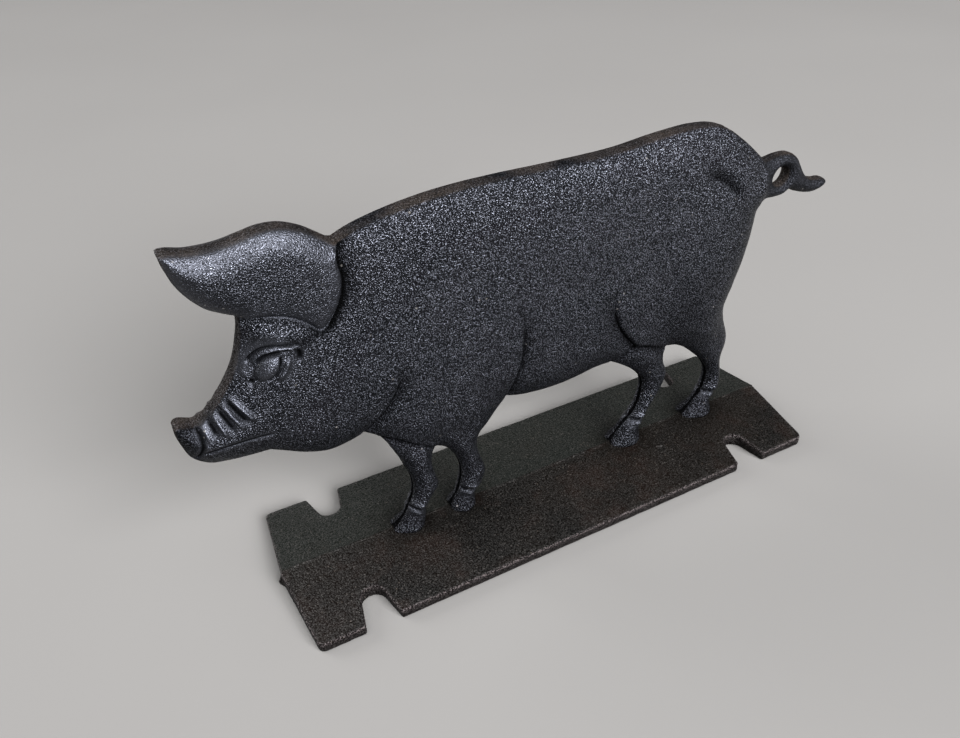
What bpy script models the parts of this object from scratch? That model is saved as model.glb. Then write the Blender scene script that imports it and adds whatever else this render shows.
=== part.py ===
"""Cast-iron press: a pig in double-sided relief standing on a flat plate with four open slots.

Metres, +Z up. +X runs along the plate towards the tail, -Y is the face that is usually seen.
The origin is the centre of the plate's flat underside. The figure lies in the plane y = 0 and
is mirrored through it, as the two halves of its mould were. Lengths below are millimetres.
"""

from math import cos, pi, sin

import bmesh
import bpy
import numpy as np
from mathutils import Vector
from mathutils.geometry import delaunay_2d_cdt

MM = 0.001
GAP = 0.3  # between touching pieces

# The plate: flat below, a shallow roof above, slightly pointed ends.
PLATE_WIDTH = 76.0
PLATE_LENGTH = 237.0  # at the long edges
END_NOSE = 3.0  # each end comes to a blunt point on the middle line
EDGE_THICKNESS = 5.0
RIDGE_THICKNESS = 8.8
CORNER_RADIUS = 2.0
EDGE_BEVEL = 0.5

# The four open slots in the long edges.
SLOT_MOUTH = 14.0
SLOT_RADIUS = 4.9
SLOT_DEPTH = 15.7
SLOT_MOUTH_RADIUS = 1.0
SLOT_CENTRES = (-92.5, 87.5)

# The figure: its edge is a flat band, and both faces swell from it.
FIGURE_X = -2.5  # the figure's own zero, from the middle of the plate
EDGE_HALF = 3.2
BODY_SWELL = 2.2
SWELL_WIDTH = 11.0
PILLOW = 2.4  # the slower swelling, towards the middle of the body
PILLOW_WIDTH = 42.0
HAM_RISE = 1.3  # the ham, and how far it falls again to the edge of the rump
RUMP_FALL = 0.9
RUMP_WIDTH = 14.0
HAM_END = (18.0, 46.0)  # how far from the rump's edge the ham's swelling fades
HAM_FOOT = (46.0, 70.0)  # and between which heights
EAR_GROOVE = 2.4
EAR_GROOVE_WIDTH = 4.2
LEG_EDGE_HALF = 2.5
LEG_SWELL = 2.5
LEG_SWELL_WIDTH = 7.0
LEG_ROOT = (44.0, 62.0)  # the heights between which leg turns into body
HOOF_FLARE = 0.7
HOOF_HEIGHT = 6.0
TAIL_EDGE_HALF = 2.4
TAIL_SWELL = 1.6
TAIL_SWELL_WIDTH = 5.0
TAIL_ROOT = (101.0, 107.0)
EAR_STEP = 6.3
EAR_SWELL = 1.7
EAR_INNER_WIDTH = 7.0
EAR_OUTER_WIDTH = 11.0
TAIL_HOLE = (114.8, 121.8)
TAIL_HOLE_RADIUS = 4.8

SOLE = RIDGE_THICKNESS + GAP
ROOF_SLOPE = (RIDGE_THICKNESS - EDGE_THICKNESS) / (PLATE_WIDTH / 2)

LINE_STEP = 2.0
OUTLINE_STEP = 3.3
FOLD_STEP = 4.0
FACE_STEP = 6.0
RIM_INSET = 1.5
HOLE_SIDES = 12

# The outline as (x, z), clockwise from the notch behind the ear. Each stretch is one smooth
# curve, and two stretches meet in a corner.
OUTLINE = {
    "back": [
        (-76.5, 144.5), (-68, 147.5), (-52, 150.5), (-36, 151.9), (-18, 152), (8, 151.2),
        (32, 151), (52, 152.6), (68, 152.8), (79.5, 150.5), (90, 143.5), (98.5, 136), (102.5, 132),
    ],
    "tail": [
        (102.5, 132), (106, 131.3), (112.5, 132), (118, 131.5), (122.5, 128.7), (125.2, 124.8),
        (127.8, 121), (131.2, 117.8), (136, 116.2), (140.2, 115.6), (142.4, 114.2),
    ],
    "tail_end": [
        (142.4, 114.2), (141.2, 112.4), (138.3, 111), (134.5, 110.6), (130, 111.4), (125, 113.2),
        (120.6, 115.4),
    ],
    "tail_underside": [(120.6, 115.4), (117.5, 113.7), (112.5, 113.4), (107.5, 113.5), (104, 110)],
    "rump": [
        (104, 110), (103, 100), (101, 89.5), (97.3, 77), (94.2, 67.5), (94.8, 60), (98.3, 50),
        (98.6, 45.5), (97.4, 40.5), (97.1, 35.8), (98.2, 29.5), (98.6, 24.5), (97.4, 20.5),
        (94.8, 16.8), (94.6, SOLE),
    ],
    "near_hind_sole": [(94.6, SOLE), (78.3, SOLE)],
    "near_hind_shin": [
        (78.3, SOLE), (82.3, 12), (86, 16), (89.3, 20), (90.8, 26), (90.3, 32), (86, 39.3),
        (80.3, 45.2), (73.8, 51), (68, 54.6), (63.2, 55.8),
    ],
    "far_hind_hock": [
        (63.2, 55.8), (62.6, 52), (63.3, 47), (65.4, 41), (63.6, 34.5), (59.2, 27),
        (55.8, 21), (53.6, 16), (52.8, SOLE),
    ],
    "far_hind_sole": [(52.8, SOLE), (37.3, SOLE)],
    "far_hind_shin": [
        (37.3, SOLE), (39.8, 12), (43.8, 16.8), (48.6, 21.3), (51.9, 27), (53.4, 34.5),
        (52.8, 40.5), (48.5, 46.5), (43, 51.5), (38, 55.2), (33.5, 57.9),
    ],
    "belly": [(33.5, 57.9), (26, 58), (16, 56.5), (5, 55.9), (-7, 57), (-16.8, 59.4)],
    "near_front_knee": [
        (-16.8, 59.4), (-20.5, 55.3), (-25.1, 49.2), (-29.2, 44.6), (-30.3, 39.6), (-29.6, 34),
        (-27.2, 24), (-29.3, 18.5), (-32.4, 14), (-33, SOLE),
    ],
    "near_front_sole": [(-33, SOLE), (-44.5, SOLE)],
    "near_front_shin": [
        (-44.5, SOLE), (-42.4, 12.5), (-39.8, 17), (-38.1, 23.5), (-37.9, 29.5), (-39.7, 36),
        (-42.3, 41), (-45.1, 44.4), (-48.2, 46.2),
    ],
    "far_front_knee": [
        (-48.2, 46.2), (-50.2, 43), (-50.8, 39), (-50.3, 34), (-48.9, 25.8), (-50.8, 22.6),
        (-53.1, 19.6), (-55.3, 16), (-55.5, 12.5), (-56.8, SOLE),
    ],
    "far_front_sole": [(-56.8, SOLE), (-71, SOLE)],
    "far_front_shin": [
        (-71, SOLE), (-68, 11), (-65.3, 13.8), (-62.8, 18.5), (-60.6, 23), (-59.7, 28), (-60, 34),
        (-61.5, 39), (-63.4, 44.8), (-66, 51.4), (-68.6, 57.3), (-72, 62.5), (-77.1, 66),
    ],
    "jaw": [(-77.1, 66), (-83.4, 64.4), (-90.5, 63.8), (-98.3, 66), (-105.3, 69.8), (-111, 73)],
    "chin": [
        (-111, 73), (-120.5, 73.8), (-126, 74.6), (-130.7, 75.7), (-134, 77.8), (-136.8, 81),
        (-138.3, 86), (-139.2, 91), (-139.2, 93.4), (-137.6, 94.4), (-133.2, 92.8),
    ],
    "forehead": [
        (-133.2, 92.8), (-130.7, 93.2), (-126.6, 96), (-122, 100.9), (-118.6, 105.4),
        (-116.3, 109), (-114.3, 113.2), (-112.4, 118.7), (-111, 124), (-110.7, 128.6),
    ],
    "ear_underside": [
        (-110.7, 128.6), (-115.3, 131.2), (-118.9, 133.6), (-121.5, 136.4), (-124, 140),
        (-125.9, 143.8), (-127.1, 148), (-128.2, 154.3),
    ],
    "ear_top": [
        (-128.2, 154.3), (-125.2, 154.2), (-120.6, 152.9), (-112, 152.4), (-104, 153.5),
        (-97.8, 154.4), (-91.4, 153.8), (-85.2, 151.1), (-80.3, 147.6), (-76.5, 144.5),
    ],
}

# The part of the ear's rim that lies over the neck and the brow.
EAR_INNER_RIM = [
    (-76.5, 144.5), (-77, 139), (-76.4, 134), (-77.4, 128), (-80.5, 122), (-85.8, 116.8),
    (-90.5, 121), (-95, 124.3), (-100, 126.3), (-105.5, 127.8), (-110.7, 128.6),
]

# Folds in the relief as (line, depth, width of the high side, width of the low side, fades).
# The high side lies to the left of the line's direction of travel, and the fades are the lengths
# over which the fold dies away at the line's start and end.
SHARP = 0.1
FOLDS = {
    "jowl": (
        [(-77.1, 66), (-72.5, 72), (-66.8, 78), (-62.6, 86), (-61.2, 96)], 2.1, 1.5, 8, SHARP, 14,
    ),
    "shoulder": (
        [(-16.8, 59.4), (-15.2, 67), (-11.8, 77), (-10.6, 89), (-12, 103)], 2.0, 1.5, 8, SHARP, 14,
    ),
    "ham": ([(30, 99), (31.2, 86), (35.5, 75.5), (44, 64)], 1.8, 1.5, 9, 14, SHARP),
    "far_front_leg": (
        [(-71.5, 62), (-64, 58), (-56, 52.5), (-48.2, 46.2)], 2.4, 1.5, 6, SHARP, SHARP,
    ),
    "far_hind_leg": (
        [(33.5, 57.9), (38, 61.5), (44, 64), (52, 61.5), (63.2, 55.8)], 2.2, 1.5, 6, SHARP, SHARP,
    ),
}

# Rounded swellings on the faces as (x, z, radius along x, radius along z, height).
SWELLINGS = {
    "shoulder": (-31, 88, 24, 30, 0.9),
    "ham": (64, 92, 28, 30, 0.9),
    "cheek": (-84, 92, 20, 18, 0.7),
    "brow": (-104, 118.5, 8, 5, 0.8),
    "eye": (-104.7, 110.5, 4.6, 4.6, 1.2),
    "snout": (-126, 86, 11, 9, 0.8),
}


def smooth_line(points, step):
    """Points about a step apart on a centripetal Catmull-Rom curve through the given ones."""
    p = np.array(points, float)
    if len(p) == 2:
        count = max(1, round(float(np.linalg.norm(p[1] - p[0])) / step))
        return p[0] + (p[1] - p[0]) * np.linspace(0, 1, count + 1)[:, None]
    p = np.vstack([2 * p[0] - p[1], p, 2 * p[-1] - p[-2]])
    fine = []
    for p0, p1, p2, p3 in zip(p, p[1:], p[2:], p[3:]):
        t0 = 0.0
        t1 = t0 + np.sqrt(np.linalg.norm(p1 - p0))
        t2 = t1 + np.sqrt(np.linalg.norm(p2 - p1))
        t3 = t2 + np.sqrt(np.linalg.norm(p3 - p2))
        t = np.linspace(t1, t2, 12, endpoint=False)[:, None]
        a1 = (t1 - t) / (t1 - t0) * p0 + (t - t0) / (t1 - t0) * p1
        a2 = (t2 - t) / (t2 - t1) * p1 + (t - t1) / (t2 - t1) * p2
        a3 = (t3 - t) / (t3 - t2) * p2 + (t - t2) / (t3 - t2) * p3
        b1 = (t2 - t) / (t2 - t0) * a1 + (t - t0) / (t2 - t0) * a2
        b2 = (t3 - t) / (t3 - t1) * a2 + (t - t1) / (t3 - t1) * a3
        fine.append((t2 - t) / (t2 - t1) * b1 + (t - t1) / (t2 - t1) * b2)
    fine = np.vstack(fine + [p[-2][None]])
    along = np.concatenate([[0], np.cumsum(np.linalg.norm(np.diff(fine, axis=0), axis=1))])
    at = np.linspace(0, along[-1], max(2, round(along[-1] / step) + 1))
    return np.stack([np.interp(at, along, fine[:, k]) for k in (0, 1)], axis=1)


def outline_loop(step, names=OUTLINE):
    """The named stretches of the outline, one after the other, without the doubled corners."""
    return np.vstack([smooth_line(OUTLINE[name], step)[:-1] for name in names])


def hole_loop():
    turn = 2 * pi * np.arange(HOLE_SIDES) / HOLE_SIDES
    return np.array(TAIL_HOLE) + TAIL_HOLE_RADIUS * np.stack([np.cos(turn), np.sin(turn)], axis=1)


def nearest(points, line):
    """Each point's distance to a line, how far along it, and which side: +1 is on the left."""
    start, run = line[:-1], np.diff(line, axis=0)
    length = np.linalg.norm(run, axis=1)
    to = points[:, None] - start
    share = np.clip((to * run).sum(2) / length**2, 0, 1)
    away = to - share[..., None] * run
    distance = np.linalg.norm(away, axis=2)
    i = distance.argmin(1)
    rows = np.arange(len(points))
    side = np.sign(run[i, 0] * away[rows, i, 1] - run[i, 1] * away[rows, i, 0])
    along = np.concatenate([[0], np.cumsum(length)])[i] + share[rows, i] * length[i]
    return distance[rows, i], along, side


def closed(loop):
    return np.vstack([loop, loop[:1]])


def inside(points, loop):
    """Even-odd test of points against a closed loop."""
    x, z = points[:, 0, None], points[:, 1, None]
    (x0, z0), (x1, z1) = loop.T, np.roll(loop, -1, axis=0).T
    crosses = (z0 > z) != (z1 > z)
    rise = np.where(z1 == z0, 1.0, z1 - z0)
    return (crosses & (x < (x1 - x0) * (z - z0) / rise + x0)).sum(1) % 2 == 1


def blend(value, low, high):
    """0 below low, 1 above high, and a smooth step between."""
    t = np.clip((value - low) / (high - low), 0, 1)
    return t * t * (3 - 2 * t)


def dome(distance, width):
    """0 at the rim, 1 at a width inside it: crisp at the rim, then rounding over."""
    t = np.clip(distance / width, 0, 1)
    return 0.6 * (2 * t - t * t) + 0.4 * np.sqrt(2 * t - t * t)


def half_thickness(points):
    """How far the surface stands from the middle plane, at each (x, z)."""
    x, z = points.T
    distance = nearest(points, closed(hole_loop()))[0]
    for name, line in OUTLINE.items():
        if not name.endswith("sole"):
            distance = np.minimum(distance, nearest(points, smooth_line(line, LINE_STEP))[0])
    leg = 1 - blend(z, *LEG_ROOT)
    tail = blend(x, *TAIL_ROOT)
    edge = EDGE_HALF + (LEG_EDGE_HALF - EDGE_HALF) * leg + (TAIL_EDGE_HALF - EDGE_HALF) * tail
    swell = BODY_SWELL + (LEG_SWELL - BODY_SWELL) * leg + (TAIL_SWELL - BODY_SWELL) * tail
    width = SWELL_WIDTH + (LEG_SWELL_WIDTH - SWELL_WIDTH) * leg
    width += (TAIL_SWELL_WIDTH - SWELL_WIDTH) * tail
    half = edge + swell * dome(distance, width)
    middle = 1 - np.clip(distance / PILLOW_WIDTH, 0, 1)
    half += PILLOW * (1 - middle * middle) * (1 - leg)
    to_rump = nearest(points, smooth_line(OUTLINE["rump"], LINE_STEP))[0]
    at_rump = (1 - np.clip(to_rump / RUMP_WIDTH, 0, 1)) ** 2
    ham = (1 - at_rump) * (1 - blend(to_rump, *HAM_END))
    half += (HAM_RISE * ham - RUMP_FALL * at_rump) * blend(z, *HAM_FOOT) * (1 - tail)
    half += HOOF_FLARE * (1 - blend(z, SOLE, SOLE + HOOF_HEIGHT))
    for line, depth, high_width, low_width, fade_in, fade_out in FOLDS.values():
        line = smooth_line(line, LINE_STEP)
        away, along, side = nearest(points, line)
        left = nearest(line[-1:], line)[1] - along
        fade = blend(along, 0, fade_in) * blend(left, 0, fade_out)
        fall = np.exp(-away / np.where(side > 0, high_width, low_width))
        half -= depth * fade * fall * blend(distance, 0, EDGE_HALF)
    for at_x, at_z, wide, high, height in SWELLINGS.values():
        reach = ((x - at_x) / wide) ** 2 + ((z - at_z) / high) ** 2
        half += height * np.exp(-reach) * blend(distance, 0, EDGE_HALF)
    inner_rim = smooth_line(EAR_INNER_RIM, LINE_STEP)
    ear_outer = outline_loop(LINE_STEP, ("ear_underside", "ear_top"))
    ear_loop = np.vstack([ear_outer, inner_rim])
    to_inner = nearest(points, inner_rim)[0]
    half -= EAR_GROOVE * np.exp(-((to_inner / EAR_GROOVE_WIDTH) ** 2)) * blend(distance, 0, 2)
    to_outer = nearest(points, ear_outer)[0]
    over_neck = EAR_STEP + EAR_SWELL * dome(to_inner, EAR_INNER_WIDTH)
    at_free_rim = EDGE_HALF + (EAR_STEP + EAR_SWELL - EDGE_HALF) * dome(to_outer, EAR_OUTER_WIDTH)
    ear = np.minimum(over_neck, at_free_rim)
    in_ear = inside(points, ear_loop) | (to_inner < 0.2)
    return np.where(in_ear, np.maximum(ear, EDGE_HALF), half)


def to_the_right(loop):
    """Unit directions at right angles to a loop, to the right of its direction of travel."""
    along = np.roll(loop, -1, axis=0) - np.roll(loop, 1, axis=0)
    along /= np.linalg.norm(along, axis=1)[:, None]
    return np.stack([along[:, 1], -along[:, 0]], axis=1)


def face_grid(loops, lines):
    """A triangulated face inside the first loop and outside the others, with lines as edges."""
    points = [p for loop in loops for p in loop]
    edges = []
    start = 0
    for loop in loops:
        count = len(loop)
        edges += [(start + k, start + (k + 1) % count) for k in range(count)]
        start += count
    for line in lines:
        edges += [(start + k, start + k + 1) for k in range(len(line) - 1)]
        points += list(line)
        start += len(line)
    rings = [loop + to_the_right(loop) * RIM_INSET for loop in loops]
    for ring in rings:
        depth = np.min([nearest(ring, closed(loop))[0] for loop in loops], axis=0)
        points += list(ring[(depth > 0.8 * RIM_INSET) & inside(ring, loops[0])])
    taken = np.array(points)
    low, high = loops[0].min(0), loops[0].max(0)
    row_step = FACE_STEP * sin(pi / 3)
    grid = []
    for row in range(int((high[1] - low[1]) / row_step) + 1):
        shift = FACE_STEP / 2 * (row % 2)
        for column in range(int((high[0] - low[0]) / FACE_STEP) + 1):
            grid.append((low[0] + shift + column * FACE_STEP, low[1] + row * row_step))
    grid = np.array(grid)
    keep = inside(grid, loops[0])
    for loop in loops[1:]:
        keep &= ~inside(grid, loop)
    grid = grid[keep]
    clear = np.linalg.norm(grid[:, None] - taken, axis=2).min(1) > 0.55 * OUTLINE_STEP
    points += list(grid[clear])
    flat = [Vector((float(p[0]), float(p[1]))) for p in points]
    out, _, faces, _, _, _ = delaunay_2d_cdt(flat, edges, [], 0, 1e-5)
    out = np.array([tuple(v) for v in out])
    centres = np.array([out[list(f)].mean(0) for f in faces])
    keep = inside(centres, loops[0])
    for loop in loops[1:]:
        keep &= ~inside(centres, loop)
    return out, [tuple(f) for f, good in zip(faces, keep) if good]


def new_object(name, bm, colour, roughness):
    """An object of a cast-iron piece, from a bmesh in millimetres."""
    bmesh.ops.recalc_face_normals(bm, faces=bm.faces)
    bmesh.ops.scale(bm, vec=(MM, MM, MM), verts=bm.verts)
    mesh = bpy.data.meshes.new(name)
    bm.to_mesh(mesh)
    bm.free()
    material = bpy.data.materials.new(name)
    material.use_nodes = True
    shader = material.node_tree.nodes["Principled BSDF"]
    shader.inputs["Base Color"].default_value = (*colour, 1)
    shader.inputs["Roughness"].default_value = roughness
    shader.inputs["Metallic"].default_value = 0.6
    mesh.materials.append(material)
    piece = bpy.data.objects.new(name, mesh)
    bpy.context.scene.collection.objects.link(piece)
    return piece


def make_figure(parent):
    """The pig: one relief face, its mirror image, and the flat band of the edge between."""
    folds = [smooth_line(fold[0], FOLD_STEP) for fold in FOLDS.values()]
    lines = [line[1:-1] for line in folds + [smooth_line(EAR_INNER_RIM, FOLD_STEP)]]
    flat, faces = face_grid([outline_loop(OUTLINE_STEP), hole_loop()], lines)
    half = half_thickness(flat)
    bm = bmesh.new()
    sides = []
    for sign in (-1, 1):
        verts = []
        for (x, z), y in zip(flat, half):
            sole_drop = ROOF_SLOPE * y if z < SOLE + 0.01 else 0.0
            verts.append(bm.verts.new((x, sign * y, z - sole_drop)))
        sides.append(verts)
        for face in faces:
            bm.faces.new([verts[k] for k in face])
    uses = {}
    for face in faces:
        for a, b in zip(face, face[1:] + face[:1]):
            uses.setdefault(frozenset((a, b)), []).append((a, b))
    middle = {}
    for (a, b), *more in uses.values():
        if more:
            continue
        for k in (a, b):
            if k not in middle:
                middle[k] = bm.verts.new((flat[k][0], 0, flat[k][1]))
        for side in sides:
            bm.faces.new((side[a], side[b], middle[b], middle[a]))
    figure = new_object("pig_figure", bm, (0.022, 0.022, 0.026), 0.45)
    figure.data.shade_smooth()
    figure.data.set_sharp_from_angle(angle=0.6)
    figure.parent = parent
    figure.location.x = FIGURE_X * MM
    return figure


def arc(centre, radius, start, end, steps):
    """Points on an arc, angles in degrees."""
    turns = [(start + (end - start) * k / steps) * pi / 180 for k in range(steps + 1)]
    return [(centre[0] + radius * cos(a), centre[1] + radius * sin(a)) for a in turns]


def slot_outline(centre_x):
    """One slot in the edge at -Y, from its left mouth corner to its right one."""
    edge = -PLATE_WIDTH / 2
    r = SLOT_MOUTH_RADIUS
    half = SLOT_MOUTH / 2
    bottom = (centre_x, edge + SLOT_DEPTH - SLOT_RADIUS)
    left = arc((centre_x - half - r, edge + r), r, -90, -8, 3)
    right = arc((centre_x + half + r, edge + r), r, 188, 270, 3)
    return left + arc(bottom, SLOT_RADIUS, 172, 8, 10) + right


def near_half_outline():
    """The plate's outline on the -Y side of its middle line, from the left end to the right."""
    half_length, half_width, r = PLATE_LENGTH / 2, PLATE_WIDTH / 2, CORNER_RADIUS
    points = [(-half_length - END_NOSE, 0)]
    points += arc((-half_length + r, -half_width + r), r, 184, 270, 4)
    for centre_x in SLOT_CENTRES:
        points += slot_outline(centre_x)
    points += arc((half_length - r, -half_width + r), r, 270, 356, 4)
    return points + [(half_length + END_NOSE, 0)]


def make_plate(parent):
    """The pressing plate: a flat underside and a roof whose ridge is the figure's middle plane."""
    near = near_half_outline()
    bm = bmesh.new()
    roof, floor = {}, {}
    for sign in (-1, 1):
        for x, y in near:
            key = (x, abs(y) * sign)
            if key not in roof:
                top = RIDGE_THICKNESS - ROOF_SLOPE * abs(y)
                roof[key] = bm.verts.new((x, key[1], top))
                floor[key] = bm.verts.new((x, key[1], 0))
    loops = {sign: [(x, abs(y) * sign) for x, y in near] for sign in (-1, 1)}
    around = loops[-1] + loops[1][-2:0:-1]
    for loop in loops.values():
        bm.faces.new([roof[key] for key in loop])
    bm.faces.new([floor[key] for key in around])
    for a, b in zip(around, around[1:] + around[:1]):
        bm.faces.new((roof[a], roof[b], floor[b], floor[a]))
    bmesh.ops.recalc_face_normals(bm, faces=bm.faces)
    rim = []
    for edge in bm.edges:
        run = edge.verts[1].co - edge.verts[0].co
        if edge.calc_face_angle() > 1 and abs(run.z) < 0.5 * run.length:
            rim.append(edge)
    bmesh.ops.bevel(bm, geom=rim, offset=EDGE_BEVEL, segments=1, profile=0.5, affect="EDGES")
    plate = new_object("press_plate", bm, (0.032, 0.026, 0.024), 0.5)
    plate.data.shade_smooth()
    plate.data.set_sharp_from_angle(angle=0.5)
    plate.parent = parent
    return plate


def main():
    for old in list(bpy.data.objects):
        bpy.data.objects.remove(old, do_unlink=True)
    press = bpy.data.objects.new("press", None)
    bpy.context.scene.collection.objects.link(press)
    make_plate(press)
    make_figure(press)


main()
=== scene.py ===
"""The press's looks: a pig in double-sided relief on a plate, cast in iron, on a pale floor.

The figure and the plate are each one fine mesh that stands for its CAD node. Shapes are worked
out in millimetres, with +X towards the tail, -Y towards the camera and +Z up.
"""

import sys
from math import cos, pi, sin

import bmesh
import bpy
import numpy as np
from mathutils import Matrix, Vector, noise
from mathutils.geometry import delaunay_2d_cdt


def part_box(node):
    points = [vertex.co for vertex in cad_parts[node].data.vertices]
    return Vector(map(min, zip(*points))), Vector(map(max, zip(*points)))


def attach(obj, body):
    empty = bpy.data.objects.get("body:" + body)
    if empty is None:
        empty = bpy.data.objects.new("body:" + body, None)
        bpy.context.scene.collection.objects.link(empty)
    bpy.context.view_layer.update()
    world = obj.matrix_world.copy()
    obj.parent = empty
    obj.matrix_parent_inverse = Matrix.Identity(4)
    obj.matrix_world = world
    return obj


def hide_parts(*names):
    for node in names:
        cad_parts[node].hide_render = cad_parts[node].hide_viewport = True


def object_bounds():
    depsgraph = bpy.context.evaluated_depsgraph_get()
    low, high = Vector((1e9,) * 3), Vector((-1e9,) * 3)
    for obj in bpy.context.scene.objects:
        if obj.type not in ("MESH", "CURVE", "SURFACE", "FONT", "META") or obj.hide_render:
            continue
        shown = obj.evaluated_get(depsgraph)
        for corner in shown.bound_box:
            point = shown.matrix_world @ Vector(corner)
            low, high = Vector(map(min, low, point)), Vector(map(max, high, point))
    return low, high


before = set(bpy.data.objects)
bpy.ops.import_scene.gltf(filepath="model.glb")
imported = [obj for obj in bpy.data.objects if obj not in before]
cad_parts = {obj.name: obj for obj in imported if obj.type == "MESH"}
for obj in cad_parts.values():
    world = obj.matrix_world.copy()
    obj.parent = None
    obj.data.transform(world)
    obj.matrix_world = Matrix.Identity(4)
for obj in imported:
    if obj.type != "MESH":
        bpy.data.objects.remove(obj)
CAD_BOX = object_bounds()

MM = 0.001

# The plate's sizes, read from the CAD node where it shows them. Its ends slope to a nose, and the
# slots widen to their mouths, by these tilts in degrees.
PLATE_HIGH = 1000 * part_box("press_plate")[1]
HALF_WIDTH = PLATE_HIGH.y
RIDGE = PLATE_HIGH.z
END_NOSE, END_TILT = 3.0, 4
HALF_LENGTH = PLATE_HIGH.x - END_NOSE
EDGE_THICKNESS = 5.0
ROOF_SLOPE = (RIDGE - EDGE_THICKNESS) / HALF_WIDTH
CORNER_RADIUS = 2.8
SLOT_MOUTH = 14.0
SLOT_RADIUS = 4.9
SLOT_DEPTH = 15.7
SLOT_MOUTH_RADIUS, SLOT_TILT = 1.2, 8
SLOT_CENTRES = (-92.5, 87.5)

# What the casting left on the plate: the stub of the pouring gate on its left end, as how far it
# stands out and the height of its middle; the mould's line along the ridge and the fillets round
# the hooves, as height and width; a blister as (x, y, half length, half width); and drops of iron
# as (x, y, radius, height).
GATE_STUB, GATE_HEIGHT = 1.8, 3.2
RIDGE_LINE, RIDGE_LINE_WIDTH = 0.4, 0.45
HOOF_FILLET, HOOF_FILLET_WIDTH = 0.7, 1.2
BLISTER = (54.2, -14.3, 2.6, 1.8)
DROPS = ((99, -33.4, 1.3, 0.5), (101.5, -32.6, 1.0, 0.4), (98, -31.2, 0.9, 0.3))

SOLE = RIDGE + 0.3
TAIL_TIP_X = 142.4
FIGURE_X = 1000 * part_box("pig_figure")[1].x - TAIL_TIP_X

# The figure's thickness from its middle plane: at its rim, how much it swells and over what
# width, for the body, the legs and the tail, and between which limits the legs and tail begin.
EDGE_HALF, LEG_EDGE_HALF, TAIL_EDGE_HALF = 2.9, 1.7, 1.6
BODY_SWELL, LEG_SWELL, TAIL_SWELL = 3.7, 4.2, 2.6
BODY_SWELL_WIDTH, LEG_SWELL_WIDTH, TAIL_SWELL_WIDTH = 13.0, 6.5, 4.2
LEG_HEIGHTS = (44, 62)
TAIL_ROOT = (101, 107)
# The body's crown, the fall to the rump and the rise of the ham, the hooves' flare at the sole
# and waist above it, and the ear, which steps up from the neck with a groove behind it.
PILLOW, PILLOW_WIDTH = 1.9, 42.0
RUMP_FALL, RUMP_WIDTH, HAM_RISE = 0.9, 14.0, 1.3
HOOF_FLARE, HOOF_WAIST, HOOF_WAIST_HEIGHT = 1.3, 0.5, 5.0
EAR_STEP, EAR_SWELL, EAR_ROUNDING, EAR_EDGE_RADIUS = 6.3, 1.7, 9.0, 1.3
EAR_GROOVE, EAR_GROOVE_WIDTH = 2.4, 4.2
TAIL_HOLE = (114.6, 122.3)
TAIL_HOLE_RADIUS = 4.1

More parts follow.
